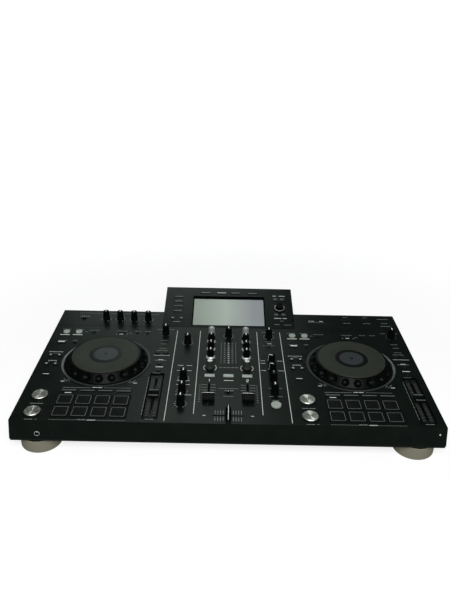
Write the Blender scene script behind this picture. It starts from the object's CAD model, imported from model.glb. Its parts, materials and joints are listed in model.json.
"""Looks of an all-in-one DJ system: its pieces and finishes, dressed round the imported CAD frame."""

import functools
import json
import math

import bmesh
import bpy
from mathutils import Matrix, Vector

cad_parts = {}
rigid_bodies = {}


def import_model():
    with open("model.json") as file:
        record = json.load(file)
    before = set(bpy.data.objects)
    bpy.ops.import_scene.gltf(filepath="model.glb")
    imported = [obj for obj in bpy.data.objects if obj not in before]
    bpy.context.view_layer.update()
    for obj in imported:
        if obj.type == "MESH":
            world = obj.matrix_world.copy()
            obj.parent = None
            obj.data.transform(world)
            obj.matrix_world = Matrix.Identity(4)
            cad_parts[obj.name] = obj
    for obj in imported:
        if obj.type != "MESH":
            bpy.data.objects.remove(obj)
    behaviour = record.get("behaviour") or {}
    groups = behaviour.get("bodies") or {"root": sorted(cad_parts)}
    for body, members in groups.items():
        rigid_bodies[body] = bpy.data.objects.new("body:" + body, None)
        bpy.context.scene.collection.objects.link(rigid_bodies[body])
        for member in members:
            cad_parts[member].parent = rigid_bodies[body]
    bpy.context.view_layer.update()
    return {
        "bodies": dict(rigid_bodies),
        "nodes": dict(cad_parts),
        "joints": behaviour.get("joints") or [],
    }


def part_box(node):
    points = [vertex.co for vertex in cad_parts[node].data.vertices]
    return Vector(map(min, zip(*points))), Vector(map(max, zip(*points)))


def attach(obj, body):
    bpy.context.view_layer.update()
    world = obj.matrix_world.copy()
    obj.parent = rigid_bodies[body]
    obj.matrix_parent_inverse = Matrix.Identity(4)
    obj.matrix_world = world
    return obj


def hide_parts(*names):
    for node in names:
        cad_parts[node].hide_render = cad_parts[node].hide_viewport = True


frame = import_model()

bl_info = {
    "name": "DJ System Looks",
    "version": (1, 0, 0),
    "blender": (4, 5, 0),
    "location": "View3D > Sidebar > DJ System",
    "description": "Dresses the packed parts of an all-in-one DJ system",
    "category": "Object",
}

# Lengths below are in millimetres unless a line says otherwise
MM = 0.001
SIDES = ("left", "right")
SHARP_EDGE = math.radians(32)

# Photograph: camera place and aim in the frame of the part, and its lens in pixels of a 600 pixel high image
CAMERA_PLACE = (-10.492, -1038.107, 711.189)
CAMERA_YAW, CAMERA_PITCH, CAMERA_ROLL = 0.00144, 0.4702, 0.01986
LENS_PIXELS, IMAGE_HEIGHT, SENSOR = 607.824, 600, 36.0


def box_mm(node):
    """Lowest and highest corner of a CAD node, in millimetres."""
    low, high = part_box(node)
    return low / MM, high / MM


def middle(node):
    """Where a CAD node's box has its middle, seen from above."""
    low, high = box_mm(node)
    return (low.x + high.x) / 2, (low.y + high.y) / 2


CASE_LOW, CASE_HIGH = box_mm("upper_case")
HOUSING_LOW, HOUSING_HIGH = box_mm("display_housing")
PANEL_Z, FRONT_Y = CASE_HIGH.z, CASE_LOW.y
BROWSE_AXIS = next(j for j in frame["joints"] if j["name"] == "browse_knob_turn")["axis"]
TILT = math.atan2(-BROWSE_AXIS[1], BROWSE_AXIS[2])
LIP = 0.4
JOG = {side: middle(f"{side}_jog_plate") for side in SIDES}
JOG_Y = JOG["left"][1] - FRONT_Y

JOG_R = JOG["left"][0] - box_mm("left_jog_rim")[0].x
JOG_H = box_mm("left_jog_plate")[1].z - PANEL_Z
TRIM_OUT = JOG["left"][0] - box_mm("jog_trim_rings")[0].x
KNOB_H = box_mm("mic_knob_1")[1].z - PANEL_Z

# Places shared with the part's source: sizes of the controls and of the deck's layout
JOG_PLATE_R, JOG_PLATE_T, JOG_DISPLAY_R = 64.0, 4.0, 29.3
RIM_FOOT_H, RIM_LIP = 2.5, 2.6
TRIM_GAP, TRIM_H = 0.8, 1.6
DIMPLES, DIMPLE_R, DIMPLE_DEPTH = 20, 9.0, 3.7
KNOB_R, KNOB_WAIST_R, KNOB_TOP_R, SKIRT_H, TONE_SKIRT_R = 7.3, 6.86, 6.0, 4.5, 9.0
SELECTOR_REST = math.radians(80)
BROWSE_H = 9.5
FLOAT = 0.8
KEY_H, KEY_DEPTH = 2.0, 9.0
PAD, PAD_PITCH, PAD_ROW_PITCH, PADS_Y = 29.4, 32.4, 33.4, 41.9
MODE_KEY_Y, UPPER_ROW_Y = 85.8, 293.6
TRANSPORT_DX, CUE_Y, PLAY_Y = -95.8, 69.0, 22.0
TEMPO_DX, TEMPO_Y, TEMPO_HALF = 102.4, 76.0, 64.0
CHANNEL_X, COLUMN_X = 35.0, 83.0
SCREEN_S, SCREEN_W, SCREEN_H = 6.5, 154.0, 86.0
SIDE_KEY_X = 111.5

# Keys on the display housing: round ones, corner ones round the browse knob, and the row above the screen
SLOPE_KEY_H = 1.2
ROUND_KEY_DX, ROUND_KEY_S = (-9.3, 9.3), SCREEN_S + 0.244 * SCREEN_H
CORNER_KEYS = [(SIDE_KEY_X + dx, SCREEN_S + share * SCREEN_H)
               for dx in (-7.5, 7.5) for share in (0.424, 1.017)]
TOP_KEY_S = SCREEN_S + SCREEN_H + 20
BROWSE_S = SCREEN_S + 0.677 * SCREEN_H

# Keys of a deck that carry marks: pairs of arrows and two bars, across from the jog wheel's axis
ARROW_KEY_DX, ARROW_KEY_DY = (-111.8, -94.6), (18.2, -13.3)
UPPER_BAR_KEY = (-102.8, JOG_Y + 67.1)
LOWER_BAR_KEY = (-103.2, JOG_Y - 49.3)

# Tick rings, the strips beside a tempo slot, and a fader's lever
TICK_R = 9.2
TEMPO_STRIP_DX = (-6.2, 6.2)
LEVER_DEPTH = 9.7

# Sockets: places across from the centre line, and heights
HEADPHONE_X, MINI_JACK_X, MIC_JACK_X = -319.7, -293.4, (-214.5, -254.5)
CASE_PHONO_X, HOUSING_PHONO_X = (194.5, 212.5, 256.5, 274.5), (72, 90, 108, 126)
INLET_X, POWER_X, WIDE_DATA_X, SQUARE_DATA_X = -92, -52, -14, 24
FRONT_JACK_Z, CASE_SOCKET_Z, HOUSING_SOCKET_Z = PANEL_Z - 27, CASE_LOW.z + 9.5, CASE_LOW.z + 20
USB_X, USB_Y = (256.5, 300), 367


def srgb(code):
    """Linear colour of an sRGB hex value."""
    parts = [int(code[i:i + 2], 16) / 255 for i in (0, 2, 4)]
    return tuple(c / 12.92 if c <= 0.04045 else ((c + 0.055) / 1.055) ** 2.4 for c in parts)


def colour(name, description, code):
    """A colour that a user may change, from its sRGB hex value."""
    return bpy.props.FloatVectorProperty(
        name=name, description=description, subtype="COLOR", size=3, min=0, max=1, default=srgb(code))


def length(name, description, millimetres):
    """A length that a user may change."""
    return bpy.props.FloatProperty(
        name=name, description=description, unit="LENGTH", min=0, default=millimetres * MM)


class SystemColours(bpy.types.PropertyGroup):
    """Colours of the finishes."""

    case: colour("Case", "Satin black ABS of the case", "0e1411")
    ink: colour("Print", "Screen-printed ink", "dde2de")
    dim_ink: colour("Dim print", "Grey ink of small labels", "7d8480")
    plate: colour("Jog plate", "Painted aluminium of the jog plates", "23271f")
    rim: colour("Jog rim", "Polished black of the jog rims", "040605")
    trim: colour("Trim ring", "Satin metal of the trim rings", "5c615f")
    rubber: colour("Knob", "Soft-touch black of knobs and fader caps", "060708")
    grey: colour("Grey knob", "Light grey of the trim knobs", "868c88")
    dark_grey: colour("Colour knob", "Dark grey of the colour knobs", "2a2e2d")
    pale_key: colour("Pale key", "Translucent pale keys", "98a199")
    dark_key: colour("Dark key", "Black keys", "151818")
    pad: colour("Pad", "Black silicone of the pads", "0d1010")
    metal: colour("Aluminium", "Spun aluminium of the cue and play buttons", "cfcfc7")
    foot: colour("Foot", "Satin champagne of the feet", "93907f")
    screen_warm: colour("Screen, left", "Unlit screen at its left", "99a49a")
    screen_mid: colour("Screen, middle", "Unlit screen at its middle", "b0bcb3")
    screen_cool: colour("Screen, right", "Unlit screen at its right", "9a9fa2")
    floor: colour("Floor", "Plain pale floor", "a6a6a3")


class SystemSizes(bpy.types.PropertyGroup):
    """Sizes of the details that the CAD leaves to the looks."""

    line: length("Printed line", "Width of a printed line", 0.8)
    tick: length("Tick", "Length of a tick mark round a knob", 1.7)
    ink: length("Ink", "Thickness of the printed ink", 0.06)
    flute: length("Flute", "Depth of the flutes of a knob", 0.45)
    flutes: bpy.props.IntProperty(name="Flutes", description="Flutes round a knob", default=18, min=8, max=40)


def colours():
    """The colours that the user has set."""
    return bpy.context.scene.dj_colours


def sizes():
    """The detail sizes that the user has set."""
    return bpy.context.scene.dj_sizes


# Materials

def add(tree, kind, links=None, values=None, stops=None, **settings):
    """Add a shader node with its links, fixed inputs, colour stops and settings."""
    node = tree.nodes.new("ShaderNode" + kind)
    for key, value in settings.items():
        setattr(node, key, value)
    for key, source in (links or {}).items():
        tree.links.new(source, node.inputs[key])
    for key, value in (values or {}).items():
        node.inputs[key].default_value = value
    if stops:
        elements = node.color_ramp.elements
        while len(elements) < len(stops):
            elements.new(1.0)
        for element, (position, tone) in zip(elements, stops):
            element.position = position
            element.color = (*tone, 1.0)
    return node


def new_tree(name):
    """An empty material and its node tree."""
    material = bpy.data.materials.new(name)
    material.use_nodes = True
    material.node_tree.nodes.clear()
    return material, material.node_tree


def toned(tone, share):
    """A colour made lighter or darker by a share."""
    return tuple(min(1.0, c * share) for c in tone)


def surfaced(name, tone, roughness, grain=0.9, relief=0.012, spread=0.18, cloud=30.0, shader=None):
    """A moulded, cast or painted surface: cloudy tone and gloss, and a fine grain in relief (millimetres)."""
    material, tree = new_tree(name)
    place = add(tree, "TexCoord").outputs["Object"]
    clouds = add(tree, "TexNoise", {"Vector": place}, {"Scale": 1 / (cloud * MM), "Detail": 4.0})
    fac = clouds.outputs["Fac"]
    tones = [(0.3, toned(tone, 1 - spread)), (0.7, toned(tone, 1 + spread))]
    base = add(tree, "ValToRGB", {"Fac": fac}, stops=tones)
    gloss = add(tree, "MapRange", {"Value": fac},
                {"From Min": 0.3, "From Max": 0.7, "To Min": roughness * 0.9, "To Max": roughness * 1.12})
    fine = add(tree, "TexNoise", {"Vector": place}, {"Scale": 1 / (grain * MM), "Detail": 2.0})
    bump = add(tree, "Bump", {"Height": fine.outputs["Fac"]}, {"Distance": relief * MM})
    skin = add(tree, "BsdfPrincipled", {
        "Base Color": base.outputs["Color"], "Roughness": gloss.outputs["Result"],
        "Normal": bump.outputs["Normal"]}, shader)
    add(tree, "OutputMaterial", {"Surface": skin.outputs["BSDF"]})
    return material


def ringed(name, tones, pitch, relief, shader, upright=False):
    """A turned metal: rings at a pitch round the piece's own axis, in tone and in relief (millimetres).
    On an upright side the rings follow one another in height."""
    material, tree = new_tree(name)
    place = add(tree, "TexCoord").outputs["Object"]
    scale = math.tau / 20 / (pitch * MM)
    rings = add(tree, "TexWave", {"Vector": place}, {"Scale": scale, "Distortion": 0.4},
                wave_type="BANDS" if upright else "RINGS", bands_direction="Z", rings_direction="Z")
    base = add(tree, "ValToRGB", {"Fac": rings.outputs["Fac"]}, stops=[(0.0, tones[0]), (1.0, tones[1])])
    bump = add(tree, "Bump", {"Height": rings.outputs["Fac"]}, {"Distance": relief * MM})
    round_axis = add(tree, "Tangent", direction_type="RADIAL", axis="Z")
    skin = add(tree, "BsdfPrincipled", {
        "Base Color": base.outputs["Color"], "Normal": bump.outputs["Normal"],
        "Tangent": round_axis.outputs["Tangent"]}, shader)
    add(tree, "OutputMaterial", {"Surface": skin.outputs["BSDF"]})
    return material


@functools.cache
def case_abs():
    """ABS from a spark-eroded mould: an even satin black whose grain breaks up highlights.
    The real grain of about 0.1 mm is drawn coarser so that it shows."""
    return surfaced("ABS_satin_black", colours().case, 0.3, shader={"IOR": 1.53, "Specular IOR Level": 0.065})


@functools.cache
def base_steel():
    """Sheet steel, powder coated: black with a fine orange peel."""
    return surfaced("Steel_powder_coated", toned(colours().case, 0.8), 0.6, grain=1.6, relief=0.03,
                    shader={"IOR": 1.5, "Specular IOR Level": 0.3})


@functools.cache
def print_ink():
    """Screen-printed ink: a matte pale film, a little uneven where the mesh left less of it."""
    return surfaced("Ink_screen_printed", colours().ink, 0.6, cloud=6.0, spread=0.08)


@functools.cache
def dim_ink():
    """Grey screen-printed ink of the small labels, matte."""
    return surfaced("Ink_grey_printed", colours().dim_ink, 0.6, cloud=6.0, spread=0.12)


@functools.cache
def tick_ink():
    """Olive screen-printed ink of the tempo scales, matte and hardly lighter than their liners."""
    return surfaced("Ink_olive_printed", srgb("4a4f49"), 0.6, cloud=6.0, spread=0.12)


@functools.cache
def soft_rubber():
    """Elastomer coating, sprayed on: deep black that is slightly velvety."""
    return surfaced("Elastomer_soft_touch", colours().rubber, 0.55, grain=0.7,
                    shader={"IOR": 1.5, "Specular IOR Level": 0.05})


@functools.cache
def grey_abs():
    """ABS moulded in light grey, satin."""
    return surfaced("ABS_light_grey", colours().grey, 0.42, spread=0.06)


@functools.cache
def dark_grey_abs():
    """ABS moulded in dark grey, satin."""
    return surfaced("ABS_dark_grey", colours().dark_grey, 0.45, spread=0.1)


@functools.cache
def plated_abs():
    """ABS with satin chrome plating: bright silver with soft highlights all round."""
    return surfaced("ABS_chrome_plated", srgb("e6e8e6"), 0.36, grain=4.0, relief=0.02, spread=0.05,
                    shader={"Metallic": 0.6})


@functools.cache
def rim_gloss():
    """ABS from a polished mould: piano black with clear soft highlights."""
    return surfaced("ABS_polished_black", colours().rim, 0.42, grain=5.0, relief=0.01,
                    shader={"IOR": 1.53, "Specular IOR Level": 0.07})


@functools.cache
def trim_satin():
    """Aluminium, turned and satin anodised: a ring that catches the light at its sides."""
    return surfaced("Aluminium_satin_anodised", colours().trim, 0.5, spread=0.08, shader={"Metallic": 0.8})


@functools.cache
def plate_paint():
    """Aluminium, bead blasted and painted: matte olive grey with a sandy grain."""
    return surfaced("Aluminium_blasted_painted", colours().plate, 0.62, grain=0.8, relief=0.02, spread=0.07,
                    cloud=45.0, shader={"IOR": 1.5, "Specular IOR Level": 0.35})


@functools.cache
def spun_aluminium():
    """Aluminium, spun on a lathe: fine rings that draw the light into bright wedges.
    The real tool marks of about 0.1 mm are drawn at 0.7 mm so that they show."""
    tone = colours().metal
    return ringed("Aluminium_spun", (toned(tone, 0.9), tone), 0.7, 0.0006,
                  {"Metallic": 1.0, "Roughness": 0.3, "Anisotropic": 0.9})


@functools.cache
def turned_aluminium():
    """Aluminium, turned and left satin: a soft bright edge round a button."""
    return surfaced("Aluminium_turned_satin", colours().metal, 0.45, spread=0.06, shader={"Metallic": 1.0})


@functools.cache
def foot_aluminium():
    """Aluminium, turned and anodised champagne: fine level streaks that draw the light into an upright band.
    The real tool marks of about 0.1 mm are drawn at 1.2 mm so that they show."""
    tone = colours().foot
    return ringed("Aluminium_anodised_champagne", (toned(tone, 0.88), tone), 1.2, 0.002,
                  {"Metallic": 0.25, "Roughness": 0.5, "Anisotropic": 0.8}, upright=True)


@functools.cache
def pad_silicone():
    """Silicone, compression moulded: black, dry and softly matte."""
    return surfaced("Silicone_moulded_black", colours().pad, 0.6, grain=1.1, relief=0.02,
                    shader={"IOR": 1.42, "Specular IOR Level": 0.1})


@functools.cache
def key_black():
    """Polycarbonate keys moulded in black, satin."""
    return surfaced("Polycarbonate_black_key", colours().dark_key, 0.4, shader={"Specular IOR Level": 0.12})


@functools.cache
def key_milky():
    """Polycarbonate keys moulded in milky white over an unlit lamp: pale and softly translucent."""
    return surfaced("Polycarbonate_milky_key", colours().pale_key, 0.38, spread=0.05, cloud=9.0,
                    shader={"IOR": 1.58, "Subsurface Weight": 0.15, "Subsurface Scale": 0.001})


@functools.cache
def bezel_black():
    """Acrylic, back-printed black under a glare-free coat: the deepest black on the front."""
    return surfaced("Acrylic_coated_black", srgb("040606"), 0.4, grain=8.0, relief=0.004,
                    shader={"Specular IOR Level": 0.0})


@functools.cache
def screen_glass():
    """Liquid crystal panel, unlit, under a touch film: pale grey that drifts from green to lavender."""
    material, tree = new_tree("Screen_unlit_touch_film")
    place = add(tree, "TexCoord").outputs["Object"]
    along = add(tree, "SeparateXYZ", {"Vector": place})
    drift = add(tree, "MapRange", {"Value": along.outputs["X"]},
                {"From Min": -SCREEN_W / 2 * MM, "From Max": SCREEN_W / 2 * MM})
    tones = [(0.1, colours().screen_warm), (0.45, colours().screen_mid), (0.85, colours().screen_cool)]
    base = add(tree, "ValToRGB", {"Fac": drift.outputs["Result"]}, stops=tones)
    smear = add(tree, "TexNoise", {"Vector": place}, {"Scale": 1 / (40 * MM), "Detail": 3.0})
    gloss = add(tree, "MapRange", {"Value": smear.outputs["Fac"]}, {"To Min": 0.25, "To Max": 0.4})
    skin = add(tree, "BsdfPrincipled", {
        "Base Color": base.outputs["Color"], "Roughness": gloss.outputs["Result"]},
               {"IOR": 1.5, "Specular IOR Level": 0.15})
    add(tree, "OutputMaterial", {"Surface": skin.outputs["BSDF"]})
    return material


@functools.cache
def jog_screen():
    """Round display behind clear acrylic, unlit: slate grey with fine printed rings round a dark centre."""
    material, tree = new_tree("Acrylic_over_round_display")
    place = add(tree, "TexCoord").outputs["Object"]
    reach = add(tree, "VectorMath", {0: place}, operation="LENGTH")
    share = add(tree, "MapRange", {"Value": reach.outputs["Value"]}, {"From Max": JOG_DISPLAY_R * MM})
    slate, line, deep = srgb("272b2d"), srgb("3e4446"), srgb("0c0e0e")
    stops = [(0.0, deep), (0.14, slate)]
    for ring in (0.24, 0.42, 0.6):
        stops += [(ring, line), (ring + 0.09, slate)]
    stops += [(0.74, line), (0.79, deep), (0.97, deep)]
    base = add(tree, "ValToRGB", {"Fac": share.outputs["Result"]}, stops=stops)
    skin = add(tree, "BsdfPrincipled", {"Base Color": base.outputs["Color"]},
               {"IOR": 1.49, "Roughness": 0.35, "Specular IOR Level": 0.1})
    add(tree, "OutputMaterial", {"Surface": skin.outputs["BSDF"]})
    return material


@functools.cache
def lamp_window():
    """Polycarbonate lamp windows, unlit: smoky grey."""
    return surfaced("Polycarbonate_smoky_window", srgb("9aa09c"), 0.35, cloud=5.0)


@functools.cache
def dim_window():
    """Polycarbonate lamp windows of the side columns, tinted darker."""
    return surfaced("Polycarbonate_dark_window", srgb("454a47"), 0.35, cloud=5.0)


@functools.cache
def nickel():
    """Brass, nickel plated: bright, faintly warm metal."""
    return surfaced("Brass_nickel_plated", srgb("c9c8c2"), 0.22, grain=3.0, spread=0.06,
                    shader={"Metallic": 1.0})


@functools.cache
def zinc():
    """Steel, zinc plated: grey metal with a cloudy spangle."""
    return surfaced("Steel_zinc_plated", srgb("9a9d9e"), 0.38, cloud=4.0, shader={"Metallic": 1.0})


@functools.cache
def socket_black():
    """Glass-filled polyester of the sockets, moulded black: dull and slightly grainy."""
    return surfaced("Polyester_socket_black", srgb("0c0e0e"), 0.55, relief=0.02,
                    shader={"Specular IOR Level": 0.2})


@functools.cache
def insert_white():
    """Nylon insert of a phono socket, moulded white."""
    return surfaced("Nylon_white", srgb("dcdcd4"), 0.45, spread=0.04)


@functools.cache
def insert_red():
    """Nylon insert of a phono socket, moulded red."""
    return surfaced("Nylon_red", srgb("8e1c1c"), 0.45, spread=0.06)


@functools.cache
def board_mask():
    """Glass-fibre board under black solder mask: glossy, with the weave showing faintly."""
    return surfaced("Glass_fibre_solder_mask", srgb("0f1412"), 0.35, grain=1.5, relief=0.02)


@functools.cache
def foot_rubber():
    """Nitrile rubber sole of a foot, moulded: dull black."""
    return surfaced("Nitrile_rubber_sole", srgb("151515"), 0.75, relief=0.03)


# Meshes

def loft(bm, rings, loop=False):
    """Skin a row of equal rings of points, with flat ends, or closed on itself as a loop."""
    loops = [[bm.verts.new(Vector(p) * MM) for p in ring] for ring in rings]
    pairs = list(zip(loops, loops[1:]))
    if loop:
        pairs.append((loops[-1], loops[0]))
    for low, high in pairs:
        for i in range(len(low)):
            j = (i + 1) % len(low)
            bm.faces.new((low[i], low[j], high[j], high[i]))
    if not loop:
        bm.faces.new(reversed(loops[0]))
        bm.faces.new(loops[-1])


def eased(points, radius, steps=4):
    """A profile with its inner corners rounded."""
    out = [tuple(points[0])]
    for before, here, after in zip(points, points[1:], points[2:]):
        a, p, b = Vector(before), Vector(here), Vector(after)
        reach = min(radius, (a - p).length * 0.45, (b - p).length * 0.45)
        start = p + (a - p).normalized() * reach
        end = p + (b - p).normalized() * reach
        for i in range(steps + 1):
            t = i / steps
            out.append(tuple(start * (1 - t) ** 2 + p * 2 * t * (1 - t) + end * t ** 2))
    out.append(tuple(points[-1]))
    return out


def turned(bm, profile, steps, shape=None, centre=(0.0, 0.0), loop=False):
    """Turn a profile of (radius, height) about an upright axis; shape may change a radius round the turn."""
    rings = []
    for r, z in profile:
        ring = []
        for i in range(steps):
            angle = math.tau * i / steps
            reach = shape(r, z, angle) if shape else r
            ring.append((centre[0] + reach * math.cos(angle), centre[1] + reach * math.sin(angle), z))
        rings.append(ring)
    loft(bm, rings, loop=loop)


def outline(w, d, r, centre, z):
    """Points round a rounded rectangle at a height."""
    points, steps = [], 4
    for quarter, (sx, sy) in enumerate(((1, 1), (-1, 1), (-1, -1), (1, -1))):
        for i in range(steps + 1):
            angle = (quarter + i / steps) * math.pi / 2
            x = sx * (w / 2 - r) + r * math.cos(angle)
            y = sy * (d / 2 - r) + r * math.sin(angle)
            points.append((centre[0] + x, centre[1] + y, z))
    return points


def block(bm, centre, size, low, high, corner, edge, steps=3):
    """A rounded rectangle from low to high, its upper edge eased."""
    rings = [outline(*size, corner, centre, low)]
    for i in range(steps + 1):
        angle = math.pi / 2 * i / steps
        inset = edge * (1 - math.cos(angle))
        shrink = [c - 2 * inset for c in size]
        z = high - edge + edge * math.sin(angle)
        rings.append(outline(*shrink, max(corner - inset, 0.05), centre, z))
    loft(bm, rings)


def flat_frame(bm, outer, inner, low, high):
    """A flat frame between two rounded rectangles, each a width, depth, corner and centre."""
    cuts = ((outer, low), (outer, high), (inner, high), (inner, low))
    loft(bm, [outline(*form, z) for form, z in cuts], loop=True)


def button(bm, centre, r, low, high, edge, dish, steps=40):
    """A round key from low to high with an eased edge and a dished top."""
    profile = eased([(r, low), (r, high), (r * 0.45, high - dish)], edge)
    turned(bm, profile + [(r * 0.1, high - dish)], steps, centre=centre)


def socket_shell(bm, outer, pocket, depth, pocket_depth, front, corner):
    """A rectangular block behind its front face, with a pocket sunk into that face."""
    cuts = ((outer, front - depth), (outer, front), (pocket, front), (pocket, front - pocket_depth))
    loft(bm, [outline(*size, corner, (0, 0), z) for size, z in cuts])


def stroke(bm, start, end, width, low, high):
    """A straight bar between two points, lying flat."""
    a, b = Vector(start), Vector(end)
    side = (b - a).normalized().orthogonal() * width / 2
    corners = [a - side, b - side, b + side, a + side]
    if (b - a).cross(side) < 0:
        corners.reverse()
    loft(bm, [[(c.x, c.y, z) for c in corners] for z in (low, high)])


def arc_stroke(bm, centre, r, start, end, width, low, high):
    """A bar along an arc, angles in degrees from the right."""
    rings, steps = [], 24
    for i in range(steps + 1):
        angle = math.radians(start + (end - start) * i / steps)
        cut = []
        for reach, z in ((-1, low), (1, low), (1, high), (-1, high)):
            radius = r + reach * width / 2
            cut.append((centre[0] + radius * math.cos(angle), centre[1] + radius * math.sin(angle), z))
        rings.append(cut)
    loft(bm, rings)


def piece(name, bm, finish, body="chassis", place=None, stands_for=()):
    """Make an object of a mesh, smooth but for its sharp edges, and ride it on a CAD body."""
    bmesh.ops.recalc_face_normals(bm, faces=bm.faces)
    for face in bm.faces:
        face.smooth = True
    for edge in bm.edges:
        edge.smooth = edge.calc_face_angle(0.0) < SHARP_EDGE
    mesh = bpy.data.meshes.new(name)
    bm.to_mesh(mesh)
    bm.free()
    mesh.materials.append(finish)
    obj = bpy.data.objects.new(name, mesh)
    bpy.context.scene.collection.objects.link(obj)
    obj.matrix_world = place if place is not None else Matrix.Identity(4)
    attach(obj, body)
    if stands_for:
        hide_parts(*stands_for)


def at(x, y, z):
    """A place in the part's frame."""
    return Matrix.Translation(Vector((x, y, z)) * MM)


def on_panel(x=0.0, y=0.0):
    """A place on the panel, across from the centre line and back from the front edge."""
    return at(x, FRONT_Y + y, PANEL_Z)


def on_slope(x=0.0, s=0.0):
    """A place on the display housing's tilted face, across and up the slope."""
    return at(0, HOUSING_LOW.y, PANEL_Z + LIP) @ Matrix.Rotation(TILT, 4, "X") @ at(x, s, 0)


def on_rear(x, y, z):
    """A place on a rear wall, its Z axis pointing out of the wall and its Y axis up."""
    return at(x, y, z) @ Matrix.Rotation(math.pi, 4, "Z") @ Matrix.Rotation(math.pi / 2, 4, "X")


def on_front(x, z):
    """A place on the front fascia, its Z axis pointing out of it and its Y axis up."""
    return at(x, FRONT_Y, z) @ Matrix.Rotation(math.pi / 2, 4, "X")


def dress(node, finish):
    """Give a CAD node its finish."""
    obj = frame["nodes"][node]
    obj.data.materials.clear()
    obj.data.materials.append(finish)


class PieceOperator:
    """What the operators that make pieces share."""

    bl_options = {"REGISTER", "UNDO"}

    def execute(self, context):
        self.make(context)
        return {"FINISHED"}


class DJ_OT_case(PieceOperator, bpy.types.Operator):
    """Finish the case, the display housing, the base and what is inside"""

    bl_idname = "dj.case"
    bl_label = "Case"

    def make(self, context):
        for node in ("upper_case", "display_housing"):
            dress(node, case_abs())
        dress("bottom_case", base_steel())
        dress("circuit_boards", board_mask())
        dress("power_supply", zinc())
        dress("screws", zinc())
        bm = bmesh.new()
        turned(bm, eased([(1.5, -0.5), (1.5, 0.5), (0.2, 0.7)], 0.4), 24)
        piece("front_lamp", bm, insert_white(), place=on_front(353.7, PANEL_Z - 14.5))


class DJ_OT_display(PieceOperator, bpy.types.Operator):
    """Make the display: module, bezel and unlit screen"""

    bl_idname = "dj.display"
    bl_label = "Display"

    def make(self, context):
        border, glass_depth, module_t = 4.0, 3.0, 5.0
        middle_s = SCREEN_S + SCREEN_H / 2
        bm = bmesh.new()
        size = (SCREEN_W + 2 * border, SCREEN_H + 2 * border)
        block(bm, (0, 0), size, -glass_depth - module_t, -glass_depth - 0.1, 1.0, 0.4)
        piece("display_module", bm, socket_black(), place=on_slope(0, middle_s),
              stands_for=["display_module"])
        bm = bmesh.new()
        block(bm, (0, 0), (SCREEN_W - 0.6, SCREEN_H - 0.6), -glass_depth - 0.1, -0.6, 0.8, 0.2)
        piece("display_screen", bm, screen_glass(), place=on_slope(0, middle_s))
        bm = bmesh.new()
        width, above, below = 159.0, 9.0, 2.0
        depth = SCREEN_H + above + below
        centre = (0, (above - below) / 2)
        rings = [outline(width, depth, 1.5, centre, z) for z in (-0.3, 0.25)]
        rings.append(outline(width - 0.8, depth - 0.8, 1.2, centre, 0.4))
        for grow, z in ((0.4, 0.3), (-0.2, -0.55), (-0.2, -1.5), (1, -1.5)):
            rings.append(outline(SCREEN_W + grow, SCREEN_H + grow, 0.8, (0, 0), z))
        loft(bm, rings, loop=True)
        piece("display_bezel", bm, bezel_black(), place=on_slope(0, middle_s))


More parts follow.
